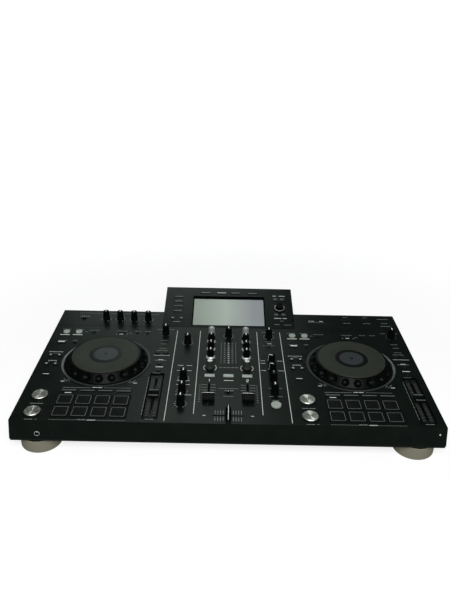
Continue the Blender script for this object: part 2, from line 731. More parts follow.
class DJ_OT_jog_wheels(PieceOperator, bpy.types.Operator):
    """Make the jog wheels: dimpled rims, top plates, round displays and trim rings"""

    bl_idname = "dj.jog_wheels"
    bl_label = "Jog wheels"

    def dimpled(self, r, z, angle):
        """A point of the rim pressed in where a dimple's ball reaches it."""
        low, high = Vector((JOG_R, RIM_FOOT_H)), Vector((JOG_PLATE_R + RIM_LIP, JOG_H - 1))
        run = (high - low).normalized()
        ball = (low + high) / 2 + (DIMPLE_R - DIMPLE_DEPTH) * Vector((run.y, -run.x))
        step = math.tau / DIMPLES
        off = (angle + step / 2) % step - step / 2
        room = DIMPLE_R ** 2 - (z - ball.y) ** 2 - (ball.x * math.sin(off)) ** 2
        if room <= 0 or r < JOG_PLATE_R + 1:
            return r
        return min(r, ball.x * math.cos(off) - math.sqrt(room))

    def make(self, context):
        shelf, seat, groove = JOG_H - JOG_PLATE_T, JOG_H - 0.8, JOG_H - 0.25
        side = eased([(20, FLOAT), (JOG_R - 0.6, FLOAT), (JOG_R, 1.4), (JOG_R, RIM_FOOT_H),
                      (JOG_PLATE_R + RIM_LIP, JOG_H - 1), (JOG_PLATE_R + 0.5, JOG_H - 0.8)], 0.9)
        # The outer side is cut finely, so that the dimples come out round
        rim, fine = [], 0.8
        for a, b in zip(side, side[1:]):
            cuts = max(1, round((Vector(b) - Vector(a)).length / fine)) if a[0] > 60 else 1
            rim += [tuple(Vector(a).lerp(Vector(b), i / cuts)) for i in range(cuts)]
        rim += [side[-1], (JOG_PLATE_R + 0.4, shelf), (20, shelf)]
        plate = eased([(6, shelf + 0.02), (JOG_PLATE_R - 0.3, shelf + 0.02), (JOG_PLATE_R, shelf + 0.5),
                       (JOG_PLATE_R, JOG_H - 1.1), (JOG_PLATE_R - 1.2, JOG_H), (61.4, JOG_H), (61.1, groove),
                       (60.6, groove), (60.3, JOG_H), (JOG_DISPLAY_R + 2.2, JOG_H),
                       (JOG_DISPLAY_R + 2.0, groove), (JOG_DISPLAY_R, groove), (JOG_DISPLAY_R, seat),
                       (6, seat)], 0.3, 3)
        wall, edge = JOG_DISPLAY_R - 0.15, JOG_DISPLAY_R + 1.7
        window = eased([(3, 0.02), (wall, 0.02), (wall, 0.57), (edge, 0.57), (edge, 0.7), (edge - 0.6, 0.85),
                        (3, 0.85)], 0.1)
        for name in SIDES:
            body = f"{name}_jog"
            place = at(*JOG[name], PANEL_Z)
            bm = bmesh.new()
            turned(bm, rim, DIMPLES * 24, self.dimpled)
            turned(bm, [(8, -17.7), (8, FLOAT + 1)], 40)
            piece(f"{body}_rim", bm, rim_gloss(), body, place, [f"{body}_rim"])
            bm = bmesh.new()
            turned(bm, plate, 160)
            piece(f"{body}_plate", bm, plate_paint(), body, place, [f"{body}_plate"])
            bm = bmesh.new()
            turned(bm, window, 120)
            piece(f"{body}_display", bm, jog_screen(), body, place @ at(0, 0, seat))
        bm = bmesh.new()
        inner = JOG_R + TRIM_GAP
        ring = eased([(inner, 0.0), (inner, 0.15), (TRIM_OUT, TRIM_H), (TRIM_OUT, 0.0)], 0.1)
        for name in SIDES:
            turned(bm, ring, 160, centre=(JOG[name][0], JOG[name][1] - FRONT_Y), loop=True)
        piece("jog_trim_rings", bm, trim_satin(), place=on_panel(),
              stands_for=["jog_trim_rings"])


class DJ_OT_knobs(PieceOperator, bpy.types.Operator):
    """Make the knobs: fluted bodies, plated skirts, pointers and the browse knob"""

    bl_idname = "dj.knobs"
    bl_label = "Knobs"

    def fluted(self, low, high):
        """A shape that cuts flutes between two heights."""
        depth, count = sizes().flute / MM, sizes().flutes

        def shape(r, z, angle):
            if r < 3 or not low <= z <= high:
                return r
            blend = min(1.0, (z - low) / 1.0, (high - z) / 1.0)
            return r - depth * blend * (0.5 + 0.5 * math.cos(count * angle)) ** 1.5
        return shape

    def body(self, bm, foot, skirt, r_low, r_high, high):
        """A knob's skirt, fluted body and dished top, turned in one, and its shaft."""
        waist, cuts = skirt + 0.7, 8
        profile = eased([(2, FLOAT), (foot, FLOAT), (foot, skirt - 0.6), (r_low + 0.2, skirt),
                         (r_low, waist)], 0.6)
        for i in range(1, cuts + 1):
            share = i / cuts
            profile.append((r_low + (r_high - r_low) * share, waist + (high - 1.0 - waist) * share))
        profile += eased([profile[-1], (r_high - 0.05, high - 0.3), (r_high - 0.9, high),
                          (r_high - 1.6, high - 0.35), (0.6, high - 0.35)], 0.5)[1:]
        turned(bm, profile, sizes().flutes * 4, self.fluted(skirt + 0.8, high - 0.9))
        turned(bm, [(3, -10.7), (3, FLOAT + 0.5)], 24)

    def pointer(self, bm, r_low, r_high, skirt, high):
        """A pale line over the top of a knob and down its side."""
        half = 1.9 / 2
        path = [(-1.0, high - 0.35), (r_high - 1.5, high - 0.3), (r_high - 0.8, high + 0.05),
                (r_high + 0.1, high - 0.8), (r_low + 0.1, skirt + 0.8)]
        rings = []
        for y, z in path:
            out = (0.12, 0.12) if y > r_high - 1 else (0.0, 0.16)
            rings.append([(-half, y - 0.3, z - 0.3), (half, y - 0.3, z - 0.3),
                          (half, y + out[0], z + out[1]), (-half, y + out[0], z + out[1])])
        loft(bm, rings)

    def make(self, context):
        knobs = [n for n in frame["nodes"] if n.endswith("_knob") or n.startswith("monitor_knob")
                 or n.startswith("mic_knob") or n in ("effect_selector", "effect_channel_selector")]
        for name in sorted(set(knobs) - {"browse_knob"}):
            x, y = middle(name)
            place = at(x, y, PANEL_Z)
            finish, slot = soft_rubber(), "knob_black"
            foot, low, top, high = KNOB_R, KNOB_WAIST_R, KNOB_TOP_R, KNOB_H
            if "trim" in name:
                finish, slot = grey_abs(), "knob_grey"
            if "color" in name:
                finish, slot = dark_grey_abs(), "knob_grey"
                foot, low, top, high = 8.0, 7.5, 6.6, KNOB_H - 3
            if any(tone in name for tone in ("high", "mid", "low")):
                foot = 6.6
                bm = bmesh.new()
                skirt = eased([(3, FLOAT), (TONE_SKIRT_R, FLOAT), (TONE_SKIRT_R, 1.5), (8.4, 2.6), (7.6, 4.0),
                               (7.2, 4.2), (3, 4.2)], 0.5)
                turned(bm, skirt, 64)
                piece(f"{name}_skirt", bm, plated_abs(), name, place)
            bm = bmesh.new()
            self.body(bm, foot, SKIRT_H, low, top, high)
            piece(name, bm, finish, name, place, [name])
            if "color" in name:
                bm = bmesh.new()
                disc = [(1, high - 0.6), (4.7, high - 0.6), (4.7, high - 0.2), (4.2, high), (0.5, high - 0.1)]
                turned(bm, eased(disc, 0.3), 48)
                piece(f"{name}_cap", bm, spun_aluminium(), name, place)
            bm = bmesh.new()
            self.pointer(bm, low, top, SKIRT_H, high)
            if "selector" in name:
                place = place @ Matrix.Rotation(SELECTOR_REST, 4, "Z")
            ink = dim_ink() if name == "effect_time_knob" else print_ink()
            piece(f"{name}_pointer", bm, ink, name, place)
        self.browse_knob()

    def browse_knob(self):
        """The browse knob on the display housing, with its flange and plated ring."""
        name, place = "browse_knob", on_slope(SIDE_KEY_X, BROWSE_S)
        bm = bmesh.new()
        flange = [(3, FLOAT), (12.4, FLOAT), (12.4, 1.7), (11.9, 2.2), (10.6, 2.0), (3, 2.0)]
        turned(bm, eased(flange, 0.3), 64)
        piece(f"{name}_flange", bm, soft_rubber(), name, place)
        bm = bmesh.new()
        ring = [(10.0, 1.8), (10.0, 2.2), (10.4, 2.4), (10.9, 2.2), (10.9, 1.8)]
        turned(bm, eased(ring, 0.15), 64, loop=True)
        piece(f"{name}_ring", bm, plated_abs(), name, place)
        bm = bmesh.new()
        self.body(bm, 8.4, 3.0, 8.2, 7.8, BROWSE_H)
        piece(name, bm, soft_rubber(), name, place, [name])


class DJ_OT_faders(PieceOperator, bpy.types.Operator):
    """Make the fader caps and slide switches with their index lines"""

    bl_idname = "dj.faders"
    bl_label = "Faders"

    def cap(self, bm, w, d, h):
        """A cap across X with scooped flanks along Y and rounded ends, on its lever."""
        ridge, shoulder, scoop = 0.18 * d, 0.45 * h, 0.06 * h
        flank = []
        for i in range(7):
            t = i / 6
            y = d / 2 + (ridge - d / 2) * t
            z = shoulder + (h - shoulder) * t - scoop * math.sin(math.pi * t)
            flank.append((y, z))
        half = eased([(0, FLOAT), (d / 2, FLOAT), (d / 2, shoulder - 0.5)], 0.4)[1:] + flank
        half = [(y, z) for y, z in half if y > 0]
        section = half + [(-y, z) for y, z in reversed(half)]
        rings = []
        for step, inset in ((0.0, 0.6), (0.18, 0.25), (0.6, 0.0), (w - 0.6, 0.0), (w - 0.18, 0.25), (w, 0.6)):
            rings.append([(step - w / 2, y * (1 - 2 * inset / d), z - (inset if z > shoulder else 0))
                          for y, z in section])
        loft(bm, rings)
        self.lever(bm)

    def valley_cap(self, bm, w, d, h):
        """A tempo cap: a ridge at each end and a valley for the finger, on its lever."""
        end, ridge = d / 2, d / 2 - 3.5
        half = eased([(0, FLOAT), (end, FLOAT), (end, h - 1), (end - 1, h), (ridge, h)], 0.4)[1:]
        half += [(ridge * t, h / 2 + h / 2 * t * t) for t in (0.8, 0.6, 0.4, 0.2)]
        section = half + [(-y, z) for y, z in reversed(half)]
        rings = []
        for step, inset in ((0.0, 0.4), (0.15, 0.1), (0.4, 0.0), (w - 0.4, 0.0), (w - 0.15, 0.1), (w, 0.4)):
            rings.append([(step - w / 2, y * (1 - inset / d), z - (inset if z > 1.5 else 0))
                          for y, z in section])
        loft(bm, rings)
        self.lever(bm)

    def lever(self, bm):
        """The flat lever under a cap, down to its slide track."""
        block(bm, (0, 0), (2.0, 6.0), -LEVER_DEPTH, FLOAT + 0.6, 0.3, 0.1)

    def make(self, context):
        caps = {
            "left_tempo_fader": (18, 20, 6), "right_tempo_fader": (18, 20, 6),
            "channel_1_fader": (21, 21, 14), "channel_2_fader": (21, 21, 14), "crossfader": (25, 10, 14),
            "mic_selector": (5, 6, 4), "crossfader_curve_switch": (5, 6, 4),
        }
        across = ("crossfader", "mic_selector", "crossfader_curve_switch")
        for name, (w, d, h) in caps.items():
            x, y = middle(name)
            place = at(x, y, PANEL_Z)
            if name in across:
                place = place @ Matrix.Rotation(math.pi / 2, 4, "Z")
            bm = bmesh.new()
            shape = self.valley_cap if "tempo" in name else self.cap
            shape(bm, w, d, h)
            piece(name, bm, soft_rubber(), name, place, [name])
            bm = bmesh.new()
            line = 0.6 if h < 5 else 1.2
            for y in (2.2 - d / 2, d / 2 - 2.2) if "tempo" in name else (0,):
                block(bm, (0, y), (w - 1.2, line), h - 0.5, h + 0.08, 0.2, 0.05)
            if name == "crossfader":
                block(bm, (-w / 2 + 0.1, 0), (0.4, line), 2.0, h - 0.6, 0.1, 0.05)
            piece(f"{name}_line", bm, dim_ink() if "tempo" in name else print_ink(), name, place)


class DJ_OT_buttons(PieceOperator, bpy.types.Operator):
    """Make the spun cue and play buttons, the effect button and their collars"""

    bl_idname = "dj.buttons"
    bl_label = "Buttons"

    def make(self, context):
        rise, r = 4.0, 14.0
        stem = eased([(3, -KEY_DEPTH), (r, -KEY_DEPTH), (r, rise - 1.7), (r - 0.5, rise - 1.4),
                      (3, rise - 1.4)], 0.4)
        face = eased([(3, rise - 1.5), (12.5, rise - 1.5), (12.5, rise - 0.05), (11.9, rise - 0.1),
                      (4, rise - 0.32), (0.4, rise - 0.36)], 0.2)
        bevel = [(12.52, rise - 1.5), (12.52, rise), (12.7, rise), (13.7, rise - 1.0), (13.7, rise - 1.5)]
        collar = [(14.5, -0.1), (14.5, 0.5), (15.1, 0.8), (15.8, 0.6), (16.2, -0.1)]
        effect_collar = [(9.5, -0.1), (9.5, 0.4), (10.0, 0.6), (10.6, 0.4), (10.9, -0.1)]
        collars = bmesh.new()
        for side in SIDES:
            for action, y in (("cue", CUE_Y), ("play", PLAY_Y)):
                x = JOG[side][0] + TRANSPORT_DX
                name, place = f"{side}_{action}_button", on_panel(x, y)
                bm = bmesh.new()
                turned(bm, stem, 80)
                piece(name, bm, key_black(), name, place, [name])
                bm = bmesh.new()
                turned(bm, face, 96)
                piece(f"{name}_cap", bm, spun_aluminium(), name, place)
                bm = bmesh.new()
                turned(bm, bevel, 96, loop=True)
                piece(f"{name}_bevel", bm, turned_aluminium(), name, place)
                turned(collars, collar, 80, centre=(x, y), loop=True)
        name = "effect_button"
        x, y = middle(name)
        bm = bmesh.new()
        button(bm, (0, 0), 9.0, -KEY_DEPTH, KEY_H + 1, 1.0, 0.25, 64)
        piece(name, bm, key_milky(), name, at(x, y, PANEL_Z), [name])
        turned(collars, effect_collar, 64, centre=(x, y - FRONT_Y), loop=True)
        piece("button_collars", collars, case_abs(), place=on_panel())


class DJ_OT_pads(PieceOperator, bpy.types.Operator):
    """Make the silicone pads with their printed outlines"""

    bl_idname = "dj.pads"
    bl_label = "Pads"

    def make(self, context):
        mat_top, mat_t, margin, print_side, line = -3.3, 2.0, 3.0, 24.2, 0.45
        for side in SIDES:
            bm, marks = bmesh.new(), bmesh.new()
            sheet = (3 * PAD_PITCH + PAD + 2 * margin, PAD_ROW_PITCH + PAD + 2 * margin)
            block(bm, (0, 0), sheet, mat_top - mat_t, mat_top, 2.0, 0.3)
            for i in range(8):
                x = (i % 4 - 1.5) * PAD_PITCH
                y = (i // 4 - 0.5) * PAD_ROW_PITCH
                block(bm, (x, y), (PAD, PAD), mat_top - 0.4, KEY_H, 1.6, 0.9, 4)
                spot = (x - 0.8, y - 1.2)
                outer = (print_side, print_side, 1.2, spot)
                inner = (print_side - 2 * line, print_side - 2 * line, 0.7, spot)
                flat_frame(marks, outer, inner, KEY_H - 0.1, KEY_H + 0.06)
            place = on_panel(JOG[side][0], PADS_Y)
            body = f"{side}_pad_mat"
            piece(body, bm, pad_silicone(), body, place, [body])
            piece(f"{side}_pad_outlines", marks, dim_ink(), body, place)


class DJ_OT_keys(PieceOperator, bpy.types.Operator):
    """Make the keys of the decks, the mixer and the display"""

    bl_idname = "dj.keys"
    bl_label = "Keys"

    def deck_keys(self):
        """Keys of both decks: dark round and long ones, and two pale round ones on each."""
        pale_round = [(-102.3, UPPER_ROW_Y - 1, 6.8), (-76.7, UPPER_ROW_Y - 1, 6.8)]
        dark_round = [(-46.5, UPPER_ROW_Y, 4), (-77, JOG_Y + 68.1, 4),
                      (44.5, UPPER_ROW_Y, 3), (65.5, UPPER_ROW_Y, 3),
                      (TEMPO_DX - 8, JOG_Y + 34.7, 5), (TEMPO_DX + 8, JOG_Y + 34.7, 5),
                      (TEMPO_DX, JOG_Y - 4.2, 4), (TEMPO_DX, JOG_Y - 28.4, 4)]
        dark_round += [(dx, JOG_Y + dy, 5) for dx in ARROW_KEY_DX for dy in ARROW_KEY_DY]
        dark_bars = [(*UPPER_BAR_KEY, 16, 6), (*LOWER_BAR_KEY, 16, 6), (12, UPPER_ROW_Y, 15, 5)]
        dark_bars += [((i - 1.5) * PAD_PITCH, MODE_KEY_Y, 27, 5) for i in range(4)]
        for side in SIDES:
            body = f"{side}_deck_keys"
            place = on_panel(JOG[side][0])
            for name, finish, rounds, bars, slot in (
                    (body, key_black(), dark_round, dark_bars, "key_dark"),
                    (f"{body}_pale", key_milky(), pale_round, (), "key_pale")):
                bm = bmesh.new()
                for x, y, r in rounds:
                    button(bm, (x, y), r, -KEY_DEPTH, KEY_H, 0.6, 0.2)
                for x, y, w, d in bars:
                    block(bm, (x, y), (w, d), -KEY_DEPTH, KEY_H, 0.9, 0.6)
                piece(name, bm, finish, body, place, [body] if name == body else ())

    def mixer_keys(self):
        """Pale cue keys of the mixer, behind its faders."""
        bm = bmesh.new()
        for x in (-CHANNEL_X, 0, CHANNEL_X):
            block(bm, (x, 140.5), (19, 7.5), -KEY_DEPTH, KEY_H, 1.0, 0.6)
        piece("mixer_keys", bm, key_milky(), "mixer_keys", on_panel(), ["mixer_keys"])

    def display_keys(self):
        """Keys round the display, on the slope of its housing."""
        bm = bmesh.new()
        rise, sink = SLOPE_KEY_H, -6.0
        for dx in ROUND_KEY_DX:
            button(bm, (-SIDE_KEY_X + dx, ROUND_KEY_S), 4.5, sink, rise, 0.5, 0.15)
        for i in range(4):
            s = SCREEN_S + (0.517 + 0.186 * i) * SCREEN_H
            block(bm, (-SIDE_KEY_X, s), (20, 8), sink, rise, 1.0, 0.5)
        for share in (-0.338, -0.107, 0.104, 0.344):
            block(bm, (share * SCREEN_W, TOP_KEY_S), (24, 5), sink, rise, 0.9, 0.5)
        for spot in CORNER_KEYS:
            block(bm, spot, (12, 9), sink, rise, 1.0, 0.5)
        piece("display_keys", bm, key_black(), "display_keys", on_slope(), ["display_keys"])

    def make(self, context):
        self.deck_keys()
        self.mixer_keys()
        self.display_keys()


class DJ_OT_prints(PieceOperator, bpy.types.Operator):
    """Line the tempo slots and print the lines, ticks and plain label bars"""

    bl_idname = "dj.prints"
    bl_label = "Prints"

    def line(self, bm, x0, y0, x1, y1, width=None, z=0.0):
        """A printed line, of the width that the user has set unless the call says another."""
        stroke(bm, (x0, y0), (x1, y1), width or sizes().line / MM, z - 0.02, z + sizes().ink / MM)

    def label(self, bm, x, y, width, height, words=1, z=0.0):
        """A plain bar, or a row of bars, where a label would be."""
        gap = 1.2
        share = (width - gap * (words - 1)) / words
        for i in range(words):
            start = x - width / 2 + i * (share + gap)
            self.line(bm, start, y, start + share, y, height, z)

    def labels(self, bm, *rows):
        """Plain label bars, each a place across and back, a width, a height and a number of words."""
        for row in rows:
            self.label(bm, *row)

    def ticks(self, bm, x, y, r, count=11):
        """Tick marks round a knob, over its turn."""
        sweep = 150
        for i in range(count):
            angle = math.radians(90 - sweep + 2 * sweep * i / (count - 1))
            reach = sizes().tick / MM * (1.5 if i in (0, (count - 1) / 2, count - 1) else 1.0)
            c, s = math.cos(angle), math.sin(angle)
            self.line(bm, x + r * c, y + r * s, x + (r + reach) * c, y + (r + reach) * s, 0.55)

    def digit(self, bm, x, y, value):
        """A plain number of upright and level strokes."""
        w, h = 3.6 / 2, 7.6 / 2
        strokes = {
            1: [(0, -h, 0, h)],
            2: [(-w, h, w, h), (w, h, w, 0), (w, 0, -w, 0), (-w, 0, -w, -h), (-w, -h, w, -h)],
        }
        for x0, y0, x1, y1 in strokes[value]:
            self.line(bm, x + x0, y + y0, x + x1, y + y1, 1.2)

    def deck(self, ink, dim):
        """Prints of one deck, across from its jog wheel's axis."""
        # Keys and the speed knob along the far edge
        self.labels(ink, (-103.5, 281, 20, 2.2), (-77.5, 281.5, 20, 2.2), (12, 287.0, 8, 1.8))
        self.labels(dim, (-103.5, 303.5, 17, 1.2, 2), (-77.5, 303.5, 17, 1.2, 2), (-62, 293.5, 6, 1.0),
                    (-46.5, 300.5, 20, 1.2, 3), (12, 299.5, 22, 1.1, 2), (44.5, 300, 12, 1.1, 2),
                    (65.5, 300, 12, 1.1, 2), (90, 309.3, 10, 1.0), (115.4, 309.3, 10, 1.0))
        for x in (1, 24):
            self.line(ink, x, 286.5, x + 1.2, 286.5, 1.2)
        self.line(dim, 27, 291, 34, 291, 0.9)
        self.ticks(dim, 104, UPPER_ROW_Y, 9.4, 9)
        # Keys at the left of the jog wheel, with a bracket over each pair of arrows
        self.labels(dim, (-102.8, 257.5, 18, 1.2, 2), (-77, 258.5, 9, 1.2), (-103.2, 208.5, 10, 1.0))
        for y, start, end in ((214, -117, -91), (182, -110.5, -96)):
            self.line(ink, start, y, end, y)
            for x in (start, end):
                self.line(ink, x, y, x, y - 2.5)
        # Cue and play
        self.labels(dim, (TRANSPORT_DX, 46, 23, 1.3, 2), (TRANSPORT_DX - 1.4, 2.6, 14, 1.3, 2))
        for dx in (10, 12):
            self.line(dim, TRANSPORT_DX + dx, 1.9, TRANSPORT_DX + dx, 3.6, 1.0)
        # Lines and labels in front of the pads and behind them
        self.labels(ink, (7, 3.2, 14, 1.7), (-0.7, 95.9, 18, 1.3, 2), (-49.2, 79.2, 12, 1.8))
        self.label(dim, -10, 4.6, 14, 1.0, 2)
        self.line(dim, -64, 3.0, 63, 3.0, 0.5)
        self.line(dim, -62.6, 94.4, -12.5, 95.0, 0.9)
        self.line(dim, 11.7, 95.6, 60, 95.6, 0.6)
        # Slanted lines in front of the jog wheel
        for turn, x, y in ((-1, -62.5, 119), (1, 60.0, 117)):
            self.line(dim, x - 4 * turn, y - 6, x + 5 * turn, y + 4)
            self.line(dim, x - 8 * turn, y - 4, x - 3 * turn, y + 2)
            self.label(ink, x + 5 * turn, y - 5, 7, 1.6)
        # Keys behind the tempo fader
        self.labels(ink, (103.5, 192, 10, 1.5), (103, 166.8, 14.5, 1.9))
        self.labels(dim, (103.5, 265, 14, 1.0), (103.5, 251, 12, 1.0), (103.5, 234, 15, 1.0),
                    (102.4, 226, 22, 1.1, 2), (103, 189.8, 22.5, 1.3, 2), (100, 146, 14, 0.9))
        self.line(ink, 87.5, 207.8, 119.5, 207.8)

    def deck_marks(self, ink, dim):
        """Marks on one deck's keys, a key's height above the panel."""
        sunk = KEY_H - 0.18
        for x, turn in zip(ARROW_KEY_DX, (-1, 1)):
            for y in ARROW_KEY_DY:
                for rise in (-1.6, 1.6):
                    self.line(ink, x - 2 * turn, JOG_Y + y + rise, x + 2 * turn, JOG_Y + y, 0.9, sunk)
        self.label(ink, *UPPER_BAR_KEY, 13.5, 3.6, z=KEY_H)
        self.label(ink, *LOWER_BAR_KEY, 11, 1.4, z=KEY_H)
        for i in range(4):
            self.label(dim, (i - 1.5) * PAD_PITCH, MODE_KEY_Y - 1.5, 25.6, 1.0, z=KEY_H)

    def tempo_scale(self, ink, dim):
        """Rows of ticks on the sunken frame of a tempo fader, and the scale beside it."""
        rows, pitch, sunk = 14, 8.0, -0.85
        for i in range(rows):
            y = TEMPO_Y - 4 + (i - (rows - 1) / 2) * pitch
            for dx in TEMPO_STRIP_DX:
                start, end = TEMPO_DX + dx - 2.7, TEMPO_DX + dx + 2.7
                self.line(ink, start, y, end, y, 1.2, sunk)
                self.line(ink, start, y + pitch / 2, end, y + pitch / 2, 0.6, sunk)
        scale_x, reach = TEMPO_DX - 14.5, 55
        for i in range(11):
            y = TEMPO_Y - reach + 11 * i
            self.line(dim, scale_x - 1, y, scale_x + 1, y)
        self.line(dim, scale_x, TEMPO_Y - reach, scale_x, TEMPO_Y + reach, 0.5)
        self.label(dim, TEMPO_DX, TEMPO_Y - 67.5, 15, 1.2, 2)

    def channel(self, ink, dim, x, number):
        """Prints of one mixer channel: ticks, arcs, its number and the scale of its fader."""
        for y, r in ((287, TICK_R), (262, 10.6), (233, 10.6), (204, 10.6)):
            self.ticks(dim, x, y, r, 7)
        for start in (-45, 135):
            arc_stroke(ink, (x, 167.5), 12.0, start, start + 90, 0.8, -0.02, 0.06)
        self.digit(ink, x, 126, number)
        out = math.copysign(1, x)
        for i in range(4):
            y = 111.5 - 8.4 * i
            self.line(dim, x - out * 12.4, y, x - out * 3, y, 0.9)
            self.line(dim, x + out * 3, y, x + out * 14, y, 0.9)
        for i in range(9):
            y = 60 + 6.2 * i
            self.line(dim, x + out * 15.5, y, x + out * 17.6, y, 1.3)

    def crossfader(self, ink, dim):
        """Lines beside the crossfader that leave its slot free, and a label at each end."""
        rows = ((7.5, 16.0, 0.9), (27.0, 35.5, 0.9), (17.0, 19.2, 0.5), (23.8, 26.0, 0.5))
        for side in (-1, 1):
            for i in range(4):
                x = side * (8.5 + 4.6 * i)
                for near, far, width in rows:
                    self.line(dim, x, near, x, far, width)
            self.label(ink, side * 41, 21.5, 5, 1.2)

    def columns(self, ink, dim):
        """Labels of the two outer columns of the mixer."""
        self.label(dim, -COLUMN_X, 272, 18, 1.1, 2)
        for y, left, left_w, right, right_w in (
                (173.3, -8.1, 11, 8.5, 10.5), (156, -10.5, 7.2, 9.5, 8.6), (123.3, -8.8, 5.8, 9, 6.1),
                (110.3, -9.5, 5.2, 9, 7.8), (78.8, -9.4, 3.3, 12, 10.6)):
            self.labels(ink, (left - COLUMN_X, y, left_w, 0.9), (right - COLUMN_X, y, right_w, 0.9))
        for y, left, left_w, right, right_w in ((305, 73.5, 9, 93.4, 6.5), (103.5, 75.6, 6.4, 94.3, 5),
                                                (78.8, 76, 7.6, 92.2, 7.7)):
            self.labels(dim, (left, y, left_w, 1.1), (right, y, right_w, 1.1))
        self.labels(dim, (COLUMN_X, 201, 16, 1.1, 2), (COLUMN_X, 67.5, 12, 1.1),
                    (COLUMN_X - 1, 266.8, 15, 1.5))
        self.line(dim, 69.3, 251.4, 92.8, 251.4)
        self.labels(ink, (COLUMN_X, 259.3, 9.5, 1.5), (66.5, 195, 9, 0.9), (66.5, 186, 9, 0.9),
                    (66.5, 161, 9, 0.9), (99.5, 195, 10, 0.9), (99.5, 161, 10, 0.9))

    def mixer(self, ink, dim):
        """Prints of the mixer, across from the centre line."""
        for x, near in ((-107, 5), (107, 5), (-59, 25), (59, 25)):
            self.line(ink, x, 306, x, near, 0.9)
        for name in frame["nodes"]:
            if name.startswith("monitor_knob") or name in ("booth_level_knob", "master_level_knob"):
                x, y = middle(name)
                self.ticks(ink, x, y - FRONT_Y, TICK_R)
        for number, x in ((1, -CHANNEL_X), (2, CHANNEL_X)):
            self.channel(ink, dim, x, number)
        self.label(ink, 0.4, 125.8, 17.5, 1.5)
        self.labels(dim, (0.3, 168.7, 36, 1.4, 5), (0, 302, 14, 1.1), (1.5, 94, 16, 1.6, 2),
                    (0, 76.7, 18, 1.0, 3))
        for x in (-14.5, 14.5):
            self.line(dim, x, 183, x, 262, 0.5)
        self.line(dim, -17.5, 100.2, 18.5, 100.2, 0.9)
        self.crossfader(ink, dim)
        self.columns(ink, dim)

    def rear_strip(self, ink, dim):
        """Prints of the strip behind the decks."""
        self.line(dim, -327, 376, -152, 376)
        for i in range(4):
            x, y = middle(f"mic_knob_{i + 1}")
            self.ticks(ink, x, y - FRONT_Y, TICK_R, 9)
            self.label(dim, x, 368, 12, 1.1, 2)
        self.line(dim, -322, 364, -303, 364, 0.6)
        for x in USB_X:
            self.labels(dim, (x, 352, 15, 1.3, 2), (x, 378, 10, 1.0))
        self.labels(ink, (176, 358, 4, 1.6), (183, 358, 6, 1.6), (201, 358, 8, 1.6))
        self.labels(dim, (-312.5, 360, 22, 1.1, 3), (190, 352.5, 34, 1.1, 4), (338, 372, 24, 1.4, 2),
                    (338, 354, 14, 1.4, 2), (338, 341, 22, 1.4, 2))

    def slope(self, ink, dim):
        """Prints on the display housing."""
        self.label(dim, -SIDE_KEY_X, 16, 16, 1.4)
        for x, y, width in ((-9.5, 106, 8.5), (7.5, 106, 13.5), (-5.8, 32, 15.5), (9.7, 32, 9.3)):
            self.label(ink, SIDE_KEY_X + x, y, width, 1.2)
        for x, y, width in ((3, 23.5, 7), (-8, 12.5, 11), (15, 11.5, 15)):
            self.label(dim, SIDE_KEY_X + x, y, width, 1.0)

    def display_marks(self, ink, dim):
        """Marks on the keys round the display, a key's height above the slope."""
        top = SLOPE_KEY_H
        dished = top - 0.14
        for i in range(4):
            self.label(dim, -SIDE_KEY_X, 49.5 + 16 * i, 18, 1.3, z=top)
        for x, pale in ((-52, dim), (-16.5, ink), (16, dim), (53, dim)):
            self.label(pale, x, TOP_KEY_S, 20, 1.6, z=top)
        for x, s in CORNER_KEYS:
            for step in (-2.4, 0, 2.4):
                self.label(dim, x, s + step, 9, 0.6, z=top)
        for dx in ROUND_KEY_DX:
            for step in (-1.2, 0, 1.2):
                self.label(dim, -SIDE_KEY_X + dx, ROUND_KEY_S + step, 5.4, 1.1, z=dished)

    def tempo_frame(self, side):
        """A flat black frame round a tempo slot, wider at its far end."""
        width, rail, far, near = 22.2, 2.2, 5.0, 2.2
        depth = 2 * TEMPO_HALF + 0.2
        outer = (width + 2 * rail, depth + far + near, 1.5, (TEMPO_DX, TEMPO_Y + (far - near) / 2))
        inner = (width, depth, 1.0, (TEMPO_DX, TEMPO_Y))
        bm = bmesh.new()
        flat_frame(bm, outer, inner, -0.1, 0.2)
        piece(f"{side}_tempo_frame", bm, bezel_black(), place=on_panel(JOG[side][0]))

    def make(self, context):
        for side in SIDES:
            bm = bmesh.new()
            for dx in TEMPO_STRIP_DX:
                block(bm, (TEMPO_DX + dx, TEMPO_Y), (8.4, 2 * TEMPO_HALF - 1.6), -1.02, -0.86, 0.5, 0.05)
            piece(f"{side}_tempo_liner", bm, socket_black(), place=on_panel(JOG[side][0]))
            self.tempo_frame(side)
        prints = [("mixer", on_panel(), self.mixer), ("rear_strip", on_panel(), self.rear_strip),
                  ("display", on_slope(), self.slope), ("display_keys", on_slope(), self.display_marks)]
        for side in SIDES:
            place = on_panel(JOG[side][0])
            prints += [(f"{side}_deck", place, self.deck), (f"{side}_deck_keys", place, self.deck_marks),
                       (f"{side}_tempo", place, self.tempo_scale)]
        for name, place, draw in prints:
            body = name if name in frame["bodies"] else "chassis"
            ink, dim = bmesh.new(), bmesh.new()
            draw(ink, dim)
            if ink.verts:
                piece(f"{name}_print", ink, tick_ink() if "tempo" in name else print_ink(), body, place)
            piece(f"{name}_small_print", dim, dim_ink(), body, place)


class DJ_OT_level_meter(PieceOperator, bpy.types.Operator):
    """Make the three columns of lamp windows between the channels"""

    bl_idname = "dj.level_meter"
    bl_label = "Level meter"

    def make(self, context):
        rows, pitch, first = 11, 7.2, 186.0
        for name, finish, columns in (("level_meter", lamp_window(), (0,)),
                                      ("channel_meters", dim_window(), (-7.7, 7.7))):
            bm = bmesh.new()
            for x in columns:
                for i in range(rows):
                    block(bm, (x, first + pitch * i), (3.4, 3.0), -0.3, 0.25, 0.5, 0.15)
            piece(name, bm, finish, place=on_panel())


